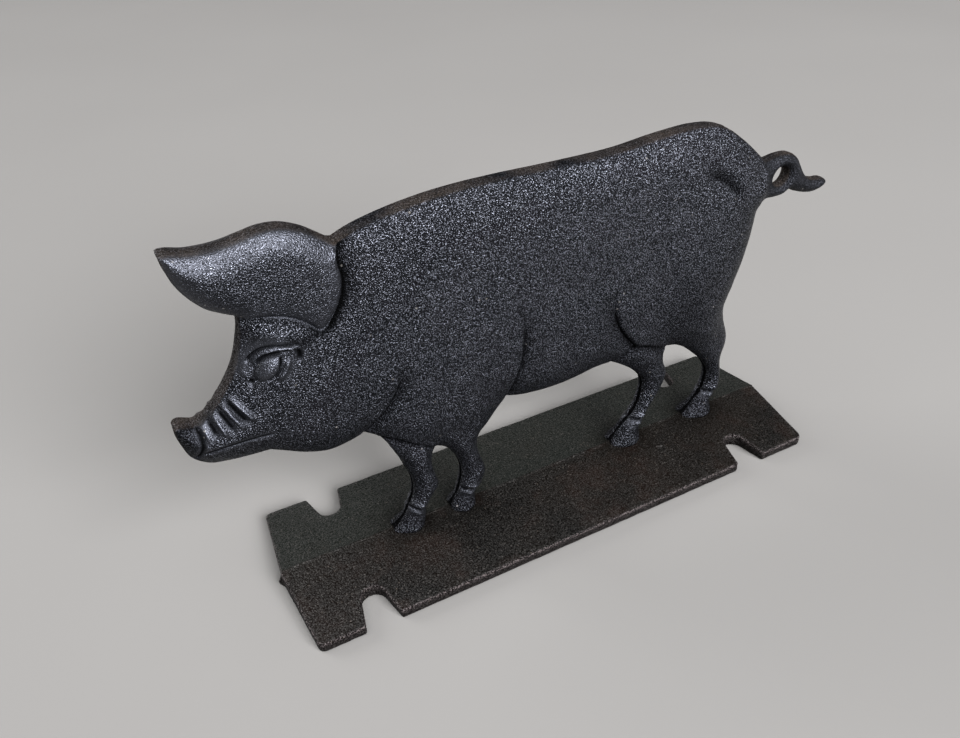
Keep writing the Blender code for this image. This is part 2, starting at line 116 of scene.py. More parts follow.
# The figure's outline as (x, z), clockwise from the notch behind the ear. Each stretch is one
# smooth curve, and two stretches meet in a corner.
OUTLINE = {
    "back": [
        (-76.5, 144.5), (-68, 147.5), (-52, 150.5), (-36, 151.9), (-18, 152), (8, 151.2),
        (32, 151), (52, 152.6), (68, 152.8), (79.5, 150.5), (90, 143.5), (98.5, 136), (102.5, 132),
    ],
    "tail": [
        (102.5, 132), (106, 131.3), (112.5, 132), (118, 131.5), (122.5, 128.7), (125.2, 124.8),
        (127.8, 121), (131.2, 117.8), (136, 116.2), (140.2, 115.6), (142.4, 114.2),
    ],
    "tail_end": [
        (142.4, 114.2), (141.2, 112.4), (138.3, 111), (134.5, 110.6), (130, 111.4), (125, 113.2),
        (120.6, 115.4),
    ],
    "tail_underside": [(120.6, 115.4), (117.5, 113.7), (112.5, 113.4), (107.5, 113.5), (104, 110)],
    "rump": [
        (104, 110), (103, 100), (101, 89.5), (97.3, 77), (94.2, 67.5), (94.8, 60), (98.3, 50),
        (98.6, 45.5), (97.4, 40.5), (97.1, 35.8), (98.2, 29.5), (98.6, 24.5), (97.4, 20.5),
        (94.8, 16.8), (94.6, SOLE),
    ],
    "near_hind_sole": [(94.6, SOLE), (78.3, SOLE)],
    "near_hind_shin": [
        (78.3, SOLE), (82.3, 12), (86, 16), (89.3, 20), (90.8, 26), (90.3, 32), (86, 39.3),
        (80.3, 45.2), (73.8, 51), (68, 54.6), (63.2, 55.8),
    ],
    "far_hind_hock": [
        (63.2, 55.8), (62.6, 52), (63.3, 47), (65.4, 41), (63.6, 34.5), (59.2, 27),
        (55.8, 21), (53.6, 16), (52.8, SOLE),
    ],
    "far_hind_sole": [(52.8, SOLE), (37.3, SOLE)],
    "far_hind_shin": [
        (37.3, SOLE), (39.8, 12), (43.8, 16.8), (48.6, 21.3), (51.9, 27), (53.4, 34.5),
        (52.8, 40.5), (48.5, 46.5), (43, 51.5), (38, 55.2), (33.5, 57.9),
    ],
    "belly": [(33.5, 57.9), (26, 58), (16, 56.5), (5, 55.9), (-7, 57), (-16.8, 59.4)],
    "near_front_knee": [
        (-16.8, 59.4), (-20.5, 55.3), (-25.1, 49.2), (-29.2, 44.6), (-30.3, 39.6), (-29.6, 34),
        (-27.2, 24), (-29.3, 18.5), (-32.4, 14), (-33, SOLE),
    ],
    "near_front_sole": [(-33, SOLE), (-44.5, SOLE)],
    "near_front_shin": [
        (-44.5, SOLE), (-42.4, 12.5), (-39.8, 17), (-38.1, 23.5), (-37.9, 29.5), (-39.7, 36),
        (-42.3, 41), (-45.1, 44.4), (-48.2, 46.2),
    ],
    "far_front_knee": [
        (-48.2, 46.2), (-50.2, 43), (-50.8, 39), (-50.3, 34), (-48.9, 25.8), (-50.8, 22.6),
        (-53.1, 19.6), (-55.3, 16), (-55.5, 12.5), (-56.8, SOLE),
    ],
    "far_front_sole": [(-56.8, SOLE), (-71, SOLE)],
    "far_front_shin": [
        (-71, SOLE), (-68, 11), (-65.3, 13.8), (-62.8, 18.5), (-60.6, 23), (-59.7, 28), (-60, 34),
        (-61.5, 39), (-63.4, 44.8), (-66, 51.4), (-68.6, 57.3), (-72, 62.5), (-77.1, 66),
    ],
    "jaw": [(-77.1, 66), (-83.4, 64.4), (-90.5, 63.8), (-98.3, 66), (-105.3, 69.8), (-111, 73)],
    "chin": [
        (-111, 73), (-120.5, 73.8), (-126, 74.6), (-130.7, 75.7), (-134, 77.8), (-136.8, 81),
        (-138.3, 86), (-139.2, 91), (-139.2, 93.4), (-137.6, 94.4), (-133.2, 92.8),
    ],
    "forehead": [
        (-133.2, 92.8), (-130.7, 93.2), (-126.6, 96), (-122, 100.9), (-118.6, 105.4),
        (-116.3, 109), (-114.3, 113.2), (-112.4, 118.7), (-111, 124), (-110.7, 128.6),
    ],
    "ear_underside": [
        (-110.7, 128.6), (-115.3, 131.2), (-118.9, 133.6), (-121.5, 136.4), (-124, 140),
        (-125.9, 143.8), (-127.1, 148), (-128.2, 154.3),
    ],
    "ear_top": [
        (-128.2, 154.3), (-125.2, 154.2), (-120.6, 152.9), (-112, 152.4), (-104, 153.5),
        (-97.8, 154.4), (-91.4, 153.8), (-85.2, 151.1), (-80.3, 147.6), (-76.5, 144.5),
    ],
}
EAR_INNER_RIM = [
    (-76.5, 144.5), (-77, 139), (-76.4, 134), (-77.4, 128), (-80.5, 122), (-85.8, 116.8),
    (-90.5, 121), (-95, 124.3), (-100, 126.3), (-105.5, 127.8), (-110.7, 128.6),
]

# Folds as (line, depth, width of the high side, width of the low side, fade in, fade out). The
# high side lies to the left of the line's direction of travel.
SHARP = 0.1
FOLDS = [
    ([(-77.1, 66), (-72.5, 72), (-66.8, 78), (-62.6, 86), (-61.2, 96)], 2.5, 1.6, 8, SHARP, 16),
    ([(-16.8, 59.4), (-15.2, 67), (-11.8, 77), (-10.6, 89), (-12, 103)], 2.3, 1.6, 8, SHARP, 20),
    ([(30, 99), (31.2, 86), (35.5, 75.5), (44, 64)], 1.7, 2.2, 9, 20, SHARP),
    ([(-71.5, 62), (-64, 58), (-56, 52.5), (-48.2, 46.2)], 2.4, 1.5, 9, SHARP, SHARP),
    ([(33.5, 57.9), (38, 61.5), (44, 64), (52, 61.5), (63.2, 55.8)], 2.2, 1.5, 9, SHARP, SHARP),
    ([(90, 118.5), (84.5, 125.5), (77.5, 131.3), (68, 135.5)], 1.6, 4, 5, 9, 9),
]

STROKE_GAIN = 1.7

# Grooves (negative) and ridges as (line, height, width, taper at both ends).
STROKES = [
    # the eye: lid crease, lid, opening, iris crease, outer lobe, outer corner, brow, inner corner
    (
        [(-112.1, 112.1), (-109.6, 114.9), (-106.1, 116.8), (-102.1, 117.1), (-97.6, 116.1), (-94.2, 115.5)],
        -1.0, 0.5, 2,
    ),
    ([(-110.5, 111.5), (-107.5, 114.3), (-103.5, 115.5), (-99, 115.2), (-95.5, 114)], 0.45, 0.6, 2),
    ([(-109.5, 111.5), (-107.5, 113.3), (-105.1, 114.2), (-101.9, 114.3), (-97.9, 114.3)], -1.3, 0.5, 1.5),
    ([(-101, 113.3), (-101.9, 109.8), (-103.9, 106.6), (-107, 104.6)], -1.3, 0.5, 1),
    ([(-98.8, 112.1), (-99.6, 108.9), (-101.7, 105.8), (-104.2, 103.8)], 0.8, 1.1, 3),
    ([(-95.8, 114), (-94.8, 111.5), (-95.6, 108.5)], -1.0, 0.8, 2),
    (
        [(-112.8, 106.5), (-113.5, 110), (-111.5, 114), (-107.5, 117.8), (-102.5, 118.9), (-97, 118)],
        0.25, 1.0, 3,
    ),
    ([(-112.5, 105.8), (-110.8, 104.9)], -0.7, 0.9, 0.3),
    # the snout's wrinkles: four ridges, and the three grooves between them
    ([(-120.6, 102.1), (-117, 96.5), (-113.1, 90)], 1.0, 0.55, 4),
    ([(-123.4, 100.5), (-120.5, 94.5), (-117.3, 87.8)], 1.0, 0.55, 4),
    ([(-126.9, 97.5), (-125, 92), (-123.3, 86.5)], 1.0, 0.55, 4),
    ([(-130.8, 95.2), (-130, 91), (-129.4, 86.3)], 0.5, 0.7, 3),
    ([(-122, 101.3), (-118.9, 95.6), (-115.3, 89)], -0.5, 0.8, 4),
    ([(-125.2, 99), (-122.8, 93.3), (-120.4, 87.2)], -0.5, 0.8, 4),
    ([(-128.8, 96.3), (-127.5, 91.5), (-126.4, 86.4)], -0.5, 0.8, 4),
    # the rim of the nose, and the mouth
    ([(-132.8, 93), (-131.9, 90), (-132, 86), (-133.4, 82.6), (-135.6, 80)], -0.8, 0.7, 1.5),
    ([(-133.6, 82.6), (-129, 83.6), (-121, 83.8), (-114, 83.4), (-107.5, 82.4)], -0.35, 0.5, 3),
    # the pasterns: on each leg a crease with a small roll on either side of it
    ([(-63.5, 19.6), (-59, 17.4), (-54.5, 15.6)], -0.8, 0.55, 1),
    ([(-62.6, 21), (-58, 19), (-53.5, 17.2)], 0.3, 0.8, 1),
    ([(-64.4, 18.2), (-60, 16), (-55.5, 14.2)], 0.3, 0.8, 1),
    ([(-39.4, 18.9), (-35, 17.6), (-30, 16.6)], -0.8, 0.55, 1),
    ([(-38.9, 20.6), (-34.5, 19.4), (-28.8, 18.4)], 0.3, 0.8, 1),
    ([(-40.2, 17.3), (-36, 16), (-31.3, 15)], 0.3, 0.8, 1),
    ([(47, 20.3), (51, 19.8), (55, 19.3)], -0.8, 0.55, 1),
    ([(48.3, 22), (52, 21.5), (56, 21)], 0.3, 0.8, 1),
    ([(45.6, 18.7), (50, 18.2), (54.3, 17.7)], 0.3, 0.8, 1),
    ([(88.8, 20.4), (93, 20), (97.6, 19.7)], -0.8, 0.55, 1),
    ([(90, 22.1), (94, 21.7), (98, 21.3)], 0.3, 0.8, 1),
    ([(87.6, 18.8), (92, 18.4), (96, 18)], 0.3, 0.8, 1),
]

# Swellings as (x, z, radius, radius across, turn in degrees, height): the shoulder, ham, cheek,
# brow, snout and nose. The eyeball has the same form.
SWELLINGS = [
    (-31, 88, 24, 30, 0, 0.9),
    (64, 92, 28, 30, 0, 0.9),
    (-84, 92, 20, 18, 0, 0.7),
    (-98, 120.6, 11, 4.2, -14, 2.6),
    (-126, 86, 11, 9, 0, 0.7),
    (-135.5, 87.5, 3.2, 6, 0, 0.6),
]
EYEBALL = (-105.4, 109.9, 6.0, 3.6, 41.5, 2.8)

# Painted shade, and where the iron looks different: painted shade on the ham as (x, z, radius,
# radius across), the heights over which the hooves' painted shade and the pasterns' smooth strokes
# end and the brown rim begins (the edge below it gets painted shade), and how far along and how
# high the nose's painted shade goes.
HAM_SHADE = (66, 74, 16, 22)
HOOF_SHADE, PASTERN_TOP, BROWN_RIM = (15, 22), (18, 28), (55, 80)
NOSE_SHADE, NOSE_TOP = (-135, -128), 100

# Boxes of finer mesh as (low x, low z, high x, high z, pitch).
FINE_ZONES = [
    (-116, 101, -91, 121, 0.36),
    (-140, 72, -104, 101, 0.6),
    (-74, SOLE, -26, 26, 0.6),
    (36, SOLE, 99.5, 26, 0.6),
]
PLATE_ZONES = [(-76, -11, -26, 11, 0.8), (32, -11, 98, 11, 0.8), (50, -18, 59, -10.9, 0.6)]
RIDGE_STRIP_HALF, RIDGE_PITCH = 1.6, 0.45

# The pitch of the mesh elsewhere, its step along the outlines, how far inside them its rings lie,
# and the least gap between two of its points.
BASE_PITCH, RIM_STEP = 1.25, 0.85
PLATE_PITCH, PLATE_STEP = 1.6, 0.9
RIM_INSETS = (0.1, 0.28, 0.5, 0.8, 1.25, 1.8)
PLATE_INSETS = (0.1, 0.28, 0.5, 0.8, 1.3)
LEAST_GAP = 0.09

RIM_RADIUS, PLATE_RIM_RADIUS = 0.6, 0.8
FLASH = 0.3

# The rows of the figure's edge from its near rim to its far one, as (share of the half thickness,
# share of the flash), and of the plate's edge from its top down, as (share of height, push out).
FIGURE_ROWS = ((-0.55, 0.06), (-0.14, 0.12), (0.0, 1.0), (0.14, 0.12), (0.55, 0.06))
PLATE_ROWS = ((0.8, 0.0), (0.5, 0.1), (0.25, 0.05), (0.08, -0.2), (0.0, -0.6))


def smooth_line(points, step):
    """Points about a step apart on a centripetal Catmull-Rom curve through the given ones."""
    p = np.array(points, float)
    if len(p) == 2:
        count = max(1, round(float(np.linalg.norm(p[1] - p[0])) / step))
        return p[0] + (p[1] - p[0]) * np.linspace(0, 1, count + 1)[:, None]
    p = np.vstack([2 * p[0] - p[1], p, 2 * p[-1] - p[-2]])
    fine = []
    for p0, p1, p2, p3 in zip(p, p[1:], p[2:], p[3:]):
        t0 = 0.0
        t1 = t0 + np.sqrt(np.linalg.norm(p1 - p0))
        t2 = t1 + np.sqrt(np.linalg.norm(p2 - p1))
        t3 = t2 + np.sqrt(np.linalg.norm(p3 - p2))
        t = np.linspace(t1, t2, 24, endpoint=False)[:, None]
        a1 = (t1 - t) / (t1 - t0) * p0 + (t - t0) / (t1 - t0) * p1
        a2 = (t2 - t) / (t2 - t1) * p1 + (t - t1) / (t2 - t1) * p2
        a3 = (t3 - t) / (t3 - t2) * p2 + (t - t2) / (t3 - t2) * p3
        b1 = (t2 - t) / (t2 - t0) * a1 + (t - t0) / (t2 - t0) * a2
        b2 = (t3 - t) / (t3 - t1) * a2 + (t - t1) / (t3 - t1) * a3
        fine.append((t2 - t) / (t2 - t1) * b1 + (t - t1) / (t2 - t1) * b2)
    fine = np.vstack(fine + [p[-2][None]])
    along = np.concatenate([[0], np.cumsum(np.linalg.norm(np.diff(fine, axis=0), axis=1))])
    at = np.linspace(0, along[-1], max(2, round(along[-1] / step) + 1))
    return np.stack([np.interp(at, along, fine[:, k]) for k in (0, 1)], axis=1)


def outline_loop(step, names=OUTLINE):
    """The named stretches of the figure's outline, one after the other."""
    return np.vstack([smooth_line(OUTLINE[name], step)[:-1] for name in names])


def hole_loop(sides=40):
    """The hole in the tail."""
    turn = 2 * pi * np.arange(sides) / sides
    return np.array(TAIL_HOLE) + TAIL_HOLE_RADIUS * np.stack([np.cos(turn), np.sin(turn)], axis=1)


def closed(loop):
    """A loop with its first point again at its end."""
    return np.vstack([loop, loop[:1]])


def nearest(points, line):
    """Each point's distance to a line, how far along it, and which side: +1 is on the left."""
    start, run = line[:-1], np.diff(line, axis=0)
    length = np.linalg.norm(run, axis=1)
    offset = np.concatenate([[0], np.cumsum(length)])
    parts = []
    for k in range(0, len(points), 4000):
        to = points[k : k + 4000, None] - start
        share = np.clip((to * run).sum(2) / length**2, 0, 1)
        away = to - share[..., None] * run
        distance = np.hypot(away[..., 0], away[..., 1])
        i = distance.argmin(1)
        rows = np.arange(len(to))
        side = np.sign(run[i, 0] * away[rows, i, 1] - run[i, 1] * away[rows, i, 0])
        parts.append((distance[rows, i], offset[i] + share[rows, i] * length[i], side))
    return [np.concatenate(column) for column in zip(*parts)]


def inside(points, loop):
    """Even-odd test of points against a closed loop."""
    (x0, z0), (x1, z1) = loop.T, np.roll(loop, -1, axis=0).T
    rise = np.where(z1 == z0, 1.0, z1 - z0)
    parts = []
    for k in range(0, len(points), 4000):
        x, z = points[k : k + 4000, 0, None], points[k : k + 4000, 1, None]
        crosses = (z0 > z) != (z1 > z)
        parts.append((crosses & (x < (x1 - x0) * (z - z0) / rise + x0)).sum(1) % 2 == 1)
    return np.concatenate(parts)


def blend(value, low, high):
    """0 below low, 1 above high, and a smooth step between."""
    t = np.clip((value - low) / (high - low), 0, 1)
    return t * t * (3 - 2 * t)


def dome(distance, width):
    """0 at the rim, 1 at a width inside it: crisp at the rim, then rounding over."""
    t = np.clip(distance / width, 0, 1)
    return 0.6 * (2 * t - t * t) + 0.4 * np.sqrt(2 * t - t * t)


def round_drop(distance, radius):
    """How far a rounded edge has fallen away, at a distance in from it."""
    t = 1 - np.clip(distance / radius, 0, 1)
    return radius * (1 - np.sqrt(1 - t * t))


def lumps(points, size, seed):
    """Smooth noise of about -1 to 1 whose lumps are about size across."""
    return np.array([noise.noise(Vector((p[0] / size, p[1] / size, seed))) for p in points])


def rim_distance(points):
    """Distance to the figure's outline and the hole in its tail, the soles left out."""
    distance = nearest(points, closed(hole_loop()))[0]
    for name, line in OUTLINE.items():
        if not name.endswith("sole"):
            distance = np.minimum(distance, nearest(points, smooth_line(line, 1.0))[0])
    return distance


def cut_folds(points, distance, added, painted_shade):
    """Folds: a rounded high side, and a low side that sinks towards it, with painted shade along both."""
    for line, depth, high_width, low_width, fade_in, fade_out in FOLDS:
        line = smooth_line(line, 1.0)
        away, along, side = nearest(points, line)
        left = nearest(line[-1:], line)[1] - along
        fade = blend(along, 0, fade_in) * blend(left, 0, fade_out)
        high = round_drop(away, high_width) / high_width
        low = (1 - np.clip(away / low_width, 0, 1)) ** 2
        added -= depth * fade * np.where(side > 0, high, low) * (0.4 + 0.6 * blend(distance, 0, 3))
        # painted shade along the fold: tight on its high side, wider on its low side, fainter low down
        dark = np.where(side > 0, np.exp(-away / 0.8), np.exp(-away / 3.2))
        dark = np.where(points[:, 1] < 52, dark**3, dark)
        np.maximum(painted_shade, fade * dark * min(1, depth / 1.8), out=painted_shade)


def draw_strokes(points, added, painted_shade, calm):
    """Strokes: grooves, which get painted shade, and ridges. Both are smoother than what is round them."""
    for line, height, width, taper in STROKES:
        line = smooth_line(line, 0.5)
        low, high = line.min(0) - 3 * width, line.max(0) + 3 * width
        near = np.nonzero(((points > low) & (points < high)).all(1))[0]
        away, along, _ = nearest(points[near], line)
        left = nearest(line[-1:], line)[1] - along
        fade = blend(along, -0.01, taper) * blend(left, -0.01, taper)
        added[near] += STROKE_GAIN * height * fade * np.exp(-((away / width) ** 2))
        calm[near] = np.maximum(calm[near], fade * np.exp(-((away / (2.5 * width)) ** 2)))
        # grooves get painted shade
        if height < 0:
            dark = fade * np.exp(-((away / (1.3 * width)) ** 2))
            painted_shade[near] = np.maximum(painted_shade[near], dark)


def in_oval(points, at_x, at_z, wide, high, turn):
    """Points in an oval's own axes, where its outline is at 1 from its middle."""
    x, z = points.T
    u = (x - at_x) * cos(turn * pi / 180) + (z - at_z) * sin(turn * pi / 180)
    v = (z - at_z) * cos(turn * pi / 180) - (x - at_x) * sin(turn * pi / 180)
    return u / wide, v / high


def relief(points, distance):
    """What folds, strokes and swellings add to the thickness, where shade is painted, and how smooth it is.
    """
    added, painted_shade, calm = np.zeros((3, len(points)))
    cut_folds(points, distance, added, painted_shade)
    draw_strokes(points, added, painted_shade, calm)
    for *oval, height in SWELLINGS:
        u, v = in_oval(points, *oval)
        added += height * np.exp(-(u**2) - v**2) * blend(distance, 0, 4)
    *oval, height = EYEBALL
    u, v = in_oval(points, *oval)
    added += height * np.sqrt(np.clip(1 - u**2 - v**2, 0, 1))
    calm = np.maximum(calm, 0.9 * np.exp(-(u**4) - v**4))
    painted_shade *= 1 - blend(1 - np.hypot(u, v), 0.2, 0.45)
    # painted shade on the lower ham
    u, v = in_oval(points, *HAM_SHADE, 0)
    painted_shade = np.maximum(painted_shade, 0.5 * np.exp(-(u**2) - v**2))
    return added, painted_shade, calm


def raise_ear(points, distance, half, painted_shade, calm):
    """The ear standing over the neck, with a groove behind it that gets painted shade, and smooth rims."""
    inner_rim = smooth_line(EAR_INNER_RIM, 0.5)
    outer_rim = outline_loop(0.8, ("ear_underside", "ear_top"))
    to_inner, along, _ = nearest(points, inner_rim)
    to_outer = nearest(points, outer_rim)[0]
    in_ear = inside(points, np.vstack([outer_rim, inner_rim]))
    behind = 1 - 0.55 * blend(along, 26, 38)
    groove = np.exp(-((to_inner / EAR_GROOVE_WIDTH) ** 2))
    half = half - EAR_GROOVE * behind * groove * blend(distance, 0, 2)
    # painted shade in the groove behind the ear, and none on the ear itself
    painted_shade = np.maximum(painted_shade, behind * np.exp(-((to_inner / (3.2 * behind)) ** 2)))
    over_neck = EAR_STEP + EAR_SWELL * dome(to_inner, EAR_ROUNDING)
    over_neck -= round_drop(to_inner, EAR_EDGE_RADIUS)
    at_free_rim = EDGE_HALF + (EAR_STEP + EAR_SWELL - EDGE_HALF) * dome(to_outer, EAR_ROUNDING)
    ear = np.minimum(over_neck, at_free_rim)
    half = np.where(in_ear, np.maximum(ear, EDGE_HALF), half)
    painted_shade = np.where(in_ear, 0, painted_shade)
    smooth_rim = 0.75 * np.exp(-((np.minimum(to_inner, to_outer) / 6) ** 2))
    calm = np.where(in_ear, np.maximum(calm, np.maximum(smooth_rim, 0.15)), calm)
    return half, painted_shade, calm


def half_thickness(points):
    """How far the surface stands from the middle plane at each (x, z), and three facts for its
    shader: the distance to the rim, how much painted shade it gets and how smooth it is."""
    x, z = points.T
    distance = rim_distance(points)
    leg = 1 - blend(z, *LEG_HEIGHTS)
    tail = blend(x, *TAIL_ROOT)

    def by_part(body_value, leg_value, tail_value):
        return body_value + (leg_value - body_value) * leg + (tail_value - body_value) * tail

    edge = by_part(EDGE_HALF, LEG_EDGE_HALF, TAIL_EDGE_HALF)
    swell = by_part(BODY_SWELL, LEG_SWELL, TAIL_SWELL)
    width = by_part(BODY_SWELL_WIDTH, LEG_SWELL_WIDTH, TAIL_SWELL_WIDTH)
    added, painted_shade, calm = relief(points, distance)
    half = edge + swell * dome(distance, width) + added
    middle = 1 - np.clip(distance / PILLOW_WIDTH, 0, 1)
    half += PILLOW * (1 - middle * middle) * (1 - leg)
    to_rump = nearest(points, smooth_line(OUTLINE["rump"], 1.0))[0]
    fall = (1 - np.clip(to_rump / RUMP_WIDTH, 0, 1)) ** 2
    bulge = (1 - fall) * (1 - blend(to_rump, 18, 46))
    half += (HAM_RISE * bulge - RUMP_FALL * fall) * blend(z, 46, 70) * (1 - tail)
    above_sole = z - SOLE
    flare = HOOF_FLARE * np.exp(-above_sole / 1.6)
    half += flare - HOOF_WAIST * np.exp(-(((above_sole - HOOF_WAIST_HEIGHT) / 2.5) ** 2))
    half, painted_shade, calm = raise_ear(points, distance, half, painted_shade, calm)
    calm = np.where(leg > 0.3, np.minimum(calm, 0.5) - 0.8 * blend(z, *PASTERN_TOP), calm)
    # painted shade: darker hooves, tail and the nose's left end
    painted_shade = np.maximum(painted_shade, 0.5 * (1 - blend(z, *HOOF_SHADE)))
    calm = np.maximum(calm, 0.3 * tail)
    painted_shade = np.maximum(painted_shade, 0.55 * tail)
    painted_shade = np.maximum(painted_shade, 0.5 * (1 - blend(x, *NOSE_SHADE)) * (z < NOSE_TOP))
    half += 0.12 * lumps(points, 7, 1.7) + 0.07 * lumps(points, 2.8, 5.1)
    return half - round_drop(distance, RIM_RADIUS), distance, painted_shade, calm


def to_the_right(loop):
    """Unit directions at right angles to a loop, to the right of its direction of travel."""
    along = np.roll(loop, -1, axis=0) - np.roll(loop, 1, axis=0)
    along /= np.linalg.norm(along, axis=1)[:, None]
    return np.stack([along[:, 1], -along[:, 0]], axis=1)


def lattice(low_x, low_z, high_x, high_z, pitch):
    """A triangular lattice of points over a box."""
    rise = pitch * sin(pi / 3)
    rows = np.arange(int((high_z - low_z) / rise) + 1)
    columns = np.arange(int((high_x - low_x) / pitch) + 1)
    column, row = np.meshgrid(columns, rows)
    x = low_x + pitch * (column + 0.5 * (row % 2))
    return np.stack([x.ravel(), (low_z + rise * row).ravel()], axis=1)


def in_box(points, zone):
    """Which points are in a box given by its first four numbers."""
    low_x, low_z, high_x, high_z = zone[:4]
    x, z = points.T
    return (x > low_x) & (x < high_x) & (z > low_z) & (z < high_z)


def rings(loop, insets, loops):
    """Points on lines inside a loop, left out where another edge is nearer than they should be."""
    out = []
    for inset in insets:
        ring = loop + to_the_right(loop) * inset
        depth = np.min([nearest(ring, closed(other))[0] for other in loops], axis=0)
        out.append(ring[(depth > 0.93 * inset) & inside(ring, loops[0])])
    return np.vstack(out)


def beside(line, offsets):
    """Points beside an open line, at signed distances to its left."""
    normal = np.gradient(line, axis=0)
    normal = np.stack([-normal[:, 1], normal[:, 0]], axis=1)
    normal /= np.linalg.norm(normal, axis=1)[:, None]
    return np.vstack([line + normal * offset for offset in offsets])


def triangulate(loops, points):
    """Triangles inside the first loop and outside the others. The loops' points come first."""
    edges = []
    start = 0
    for loop in loops:
        count = len(loop)
        edges += [(start + k, start + (k + 1) % count) for k in range(count)]
        start += count
    every = np.vstack([*loops, points])
    flat = [Vector((float(p[0]), float(p[1]))) for p in every]
    out, _, faces, origin, _, _ = delaunay_2d_cdt(flat, edges, [], 0, 1e-6)
    out = np.array([tuple(v) for v in out])
    faces = np.array(faces)
    centres = out[faces].mean(1)
    keep = inside(centres, loops[0])
    for loop in loops[1:]:
        keep &= ~inside(centres, loop)
    if any(k not in where for k, where in enumerate(origin[:start])):
        sys.exit("the triangulation merged two points of an outline")
    return out, faces[keep]


def figure_points(loops):
    """Where the figure's face is sampled: rings at its rim and folds, and a lattice between."""
    points = lattice(*loops[0].min(0), *loops[0].max(0), BASE_PITCH)
    for zone in FINE_ZONES:
        points = points[~in_box(points, zone)]
    parts = [points]
    for k, zone in enumerate(FINE_ZONES):
        points = lattice(*zone)
        for finer in FINE_ZONES[:k]:
            points = points[~in_box(points, finer)]
        parts.append(points)
    points = np.vstack(parts)
    keep = inside(points, loops[0]) & ~inside(points, loops[1])
    points = points[keep]
    points = points[rim_distance(points) > RIM_INSETS[-1] + 0.35]
    points = points[points[:, 1] > SOLE + 0.3]
    lines = [(smooth_line(EAR_INNER_RIM, 0.6), (-1.5, -0.8, -0.35, -0.12, 0.12, 0.3, 0.6, 1.0, 1.5))]
    for fold in FOLDS[:5]:
        lines.append((smooth_line(fold[0], 0.8), (-1.6, -0.8, -0.25, 0.0, 0.2, 0.5, 0.9, 1.5)))
    parts = [rings(loop, RIM_INSETS, loops) for loop in loops]
    for line, offsets in lines:
        points = points[nearest(points, line)[0] > max(offsets) + 0.3]
        extra = beside(line, offsets)
        extra = extra[inside(extra, loops[0])]
        parts.append(extra[rim_distance(extra) > RIM_INSETS[-1] + 0.2])
    return np.vstack([points, *parts])


def thin_out(points, kept, gap):
    """Points that lie at least a gap from all those kept before them, in order."""
    cells = {}
    out = []
    for is_kept, p in [(True, p) for p in kept] + [(False, p) for p in points]:
        i, j = int(p[0] // gap), int(p[1] // gap)
        if not is_kept:
            near_cells = [(a, b) for a in (i - 1, i, i + 1) for b in (j - 1, j, j + 1)]
            near = [q for cell in near_cells for q in cells.get(cell, ())]
            if any((q[0] - p[0]) ** 2 + (q[1] - p[1]) ** 2 < gap * gap for q in near):
                continue
            out.append(p)
        cells.setdefault((i, j), []).append(p)
    return np.array(out)


def band_faces(row_starts, first, size):
    """The faces between rows of vertices round one loop, which starts at first in each row."""
    faces = []
    for k in range(size):
        a, b = first + k, first + (k + 1) % size
        for low, high in zip(row_starts, row_starts[1:]):
            faces.append((low + a, low + b, high + b, high + a))
    return faces


def new_piece(name, verts, faces, attributes):
    """A mesh object from millimetre points kept inside the CAD's box, with one float attribute
    for each name."""
    low, high = (1000 * np.array(corner) for corner in CAD_BOX)
    mesh = bpy.data.meshes.new(name)
    mesh.from_pydata((np.clip(verts, low, high) * MM).tolist(), [], faces)
    mesh.validate()
    for attribute, values in attributes.items():
        made = mesh.attributes.new(attribute, "FLOAT", "POINT")
        made.data.foreach_set("value", np.array(values, np.float32))
    bm = bmesh.new()
    bm.from_mesh(mesh)
    bmesh.ops.recalc_face_normals(bm, faces=bm.faces)
    bm.to_mesh(mesh)
    bm.free()
    mesh.shade_smooth()
    piece = bpy.data.objects.new(name, mesh)
    bpy.context.scene.collection.objects.link(piece)
    return piece


def figure_edge(flat, half, loops):
    """The rows of the figure's edge between its two faces, with the mould's flash along them."""
    outward = np.vstack([-to_the_right(loop) for loop in loops])
    wall_noise = lumps(flat, 3, 9.3)
    rows = []
    for share, lift in FIGURE_ROWS:
        push = FLASH * lift * (0.55 + 0.6 * wall_noise)
        push = np.where(flat[:, 1] < SOLE + 0.5, 0.0, push)
        x, z = (flat + outward * push[:, None]).T
        y = half * share
        sole = np.where(z < SOLE + 0.01, ROOF_SLOPE * np.abs(y), 0.0)
        rows.append(np.stack([x, y, z - sole], axis=1))
    return rows


